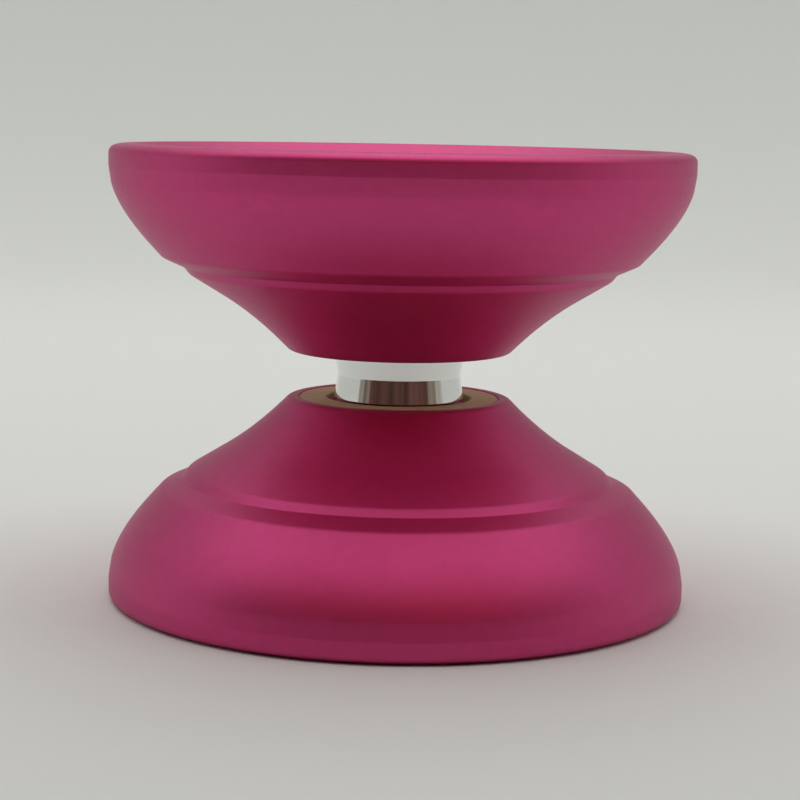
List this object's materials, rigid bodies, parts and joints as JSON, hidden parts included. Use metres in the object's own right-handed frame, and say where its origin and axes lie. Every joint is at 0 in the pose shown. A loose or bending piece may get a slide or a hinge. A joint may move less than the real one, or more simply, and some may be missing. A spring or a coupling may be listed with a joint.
{
  "type": "yo-yo",
  "caption": "Wide flared metal yo-yo: two anodised cups screwed together on a threaded axle, with a spinning bearing and a silicone pad ring in the string gap.",
  "frame": {"origin": "centre of the bearing, midway between the two halves", "axes": "+Z along the spin axis; the yo-yo stands on its lower rim"},
  "size_m": [0.0564, 0.0564, 0.044],
  "materials": {
    "anodised_body": "bead-blasted and anodised deep pink, satin",
    "silicone_pad": "matt tan silicone",
    "polished_race": "mirror polished",
    "bearing_steel": "fine turned stainless steel",
    "ball_steel": "polished",
    "axle_steel": "plain stainless set screw"
  },
  "bodies": {
    "lower": {"lower_half": "anodised_body", "lower_pad": "silicone_pad", "axle": "axle_steel"},
    "bearing_core": {"inner_race": "bearing_steel"},
    "upper": {"upper_half": "anodised_body", "upper_pad": "silicone_pad"},
    "bearing_outer": {"outer_race": "polished_race", "lower_shield": "bearing_steel", "upper_shield": "bearing_steel", "lower_clip": "bearing_steel", "upper_clip": "bearing_steel"},
    "cage": {"ball_cage": "bearing_steel"},
    "ball_1": {"ball_1": "ball_steel"},
    "ball_2": {"ball_2": "ball_steel"},
    "ball_3": {"ball_3": "ball_steel"},
    "ball_4": {"ball_4": "ball_steel"},
    "ball_5": {"ball_5": "ball_steel"},
    "ball_6": {"ball_6": "ball_steel"},
    "ball_7": {"ball_7": "ball_steel"},
    "ball_8": {"ball_8": "ball_steel"}
  },
  "joints": [
    {"name": "halves_lift", "type": "slide", "parent": "lower", "child": "bearing_core", "axis": [0, 0, 1], "range_m": [0, 0.0084]},
    {"name": "halves_unscrew", "type": "hinge", "parent": "bearing_core", "child": "upper", "pos_m": [0, 0, 0], "axis": [0, 0, 1], "range_deg": [0, 4320]},
    {"name": "bearing_spin", "type": "hinge", "parent": "bearing_core", "child": "bearing_outer", "pos_m": [0, 0, 0], "axis": [0, 0, 1], "continuous": true},
    {"name": "cage_spin", "type": "hinge", "parent": "bearing_core", "child": "cage", "pos_m": [0, 0, 0], "axis": [0, 0, 1], "continuous": true},
    {"name": "ball_1_roll", "type": "hinge", "parent": "cage", "child": "ball_1", "pos_m": [0.00465, 0, 0], "axis": [0, 0, 1], "continuous": true},
    {"name": "ball_2_roll", "type": "hinge", "parent": "cage", "child": "ball_2", "pos_m": [0.00329, 0.00329, 0], "axis": [0, 0, 1], "continuous": true},
    {"name": "ball_3_roll", "type": "hinge", "parent": "cage", "child": "ball_3", "pos_m": [0, 0.00465, 0], "axis": [0, 0, 1], "continuous": true},
    {"name": "ball_4_roll", "type": "hinge", "parent": "cage", "child": "ball_4", "pos_m": [-0.00329, 0.00329, 0], "axis": [0, 0, 1], "continuous": true},
    {"name": "ball_5_roll", "type": "hinge", "parent": "cage", "child": "ball_5", "pos_m": [-0.00465, 0, 0], "axis": [0, 0, 1], "continuous": true},
    {"name": "ball_6_roll", "type": "hinge", "parent": "cage", "child": "ball_6", "pos_m": [-0.00329, -0.00329, 0], "axis": [0, 0, 1], "continuous": true},
    {"name": "ball_7_roll", "type": "hinge", "parent": "cage", "child": "ball_7", "pos_m": [0, -0.00465, 0], "axis": [0, 0, 1], "continuous": true},
    {"name": "ball_8_roll", "type": "hinge", "parent": "cage", "child": "ball_8", "pos_m": [0.00329, -0.00329, 0], "axis": [0, 0, 1], "continuous": true}
  ],
  "couplings": [
    {"joint": "halves_unscrew", "follows": "halves_lift", "rad_per_m": 8976},
    {"joint": "cage_spin", "follows": "bearing_spin", "ratio": 0.58538},
    {"joint": "ball_1_roll", "follows": "bearing_spin", "ratio": 2.8428},
    {"joint": "ball_2_roll", "follows": "bearing_spin", "ratio": 2.8428},
    {"joint": "ball_3_roll", "follows": "bearing_spin", "ratio": 2.8428},
    {"joint": "ball_4_roll", "follows": "bearing_spin", "ratio": 2.8428},
    {"joint": "ball_5_roll", "follows": "bearing_spin", "ratio": 2.8428},
    {"joint": "ball_6_roll", "follows": "bearing_spin", "ratio": 2.8428},
    {"joint": "ball_7_roll", "follows": "bearing_spin", "ratio": 2.8428},
    {"joint": "ball_8_roll", "follows": "bearing_spin", "ratio": 2.8428}
  ]
}
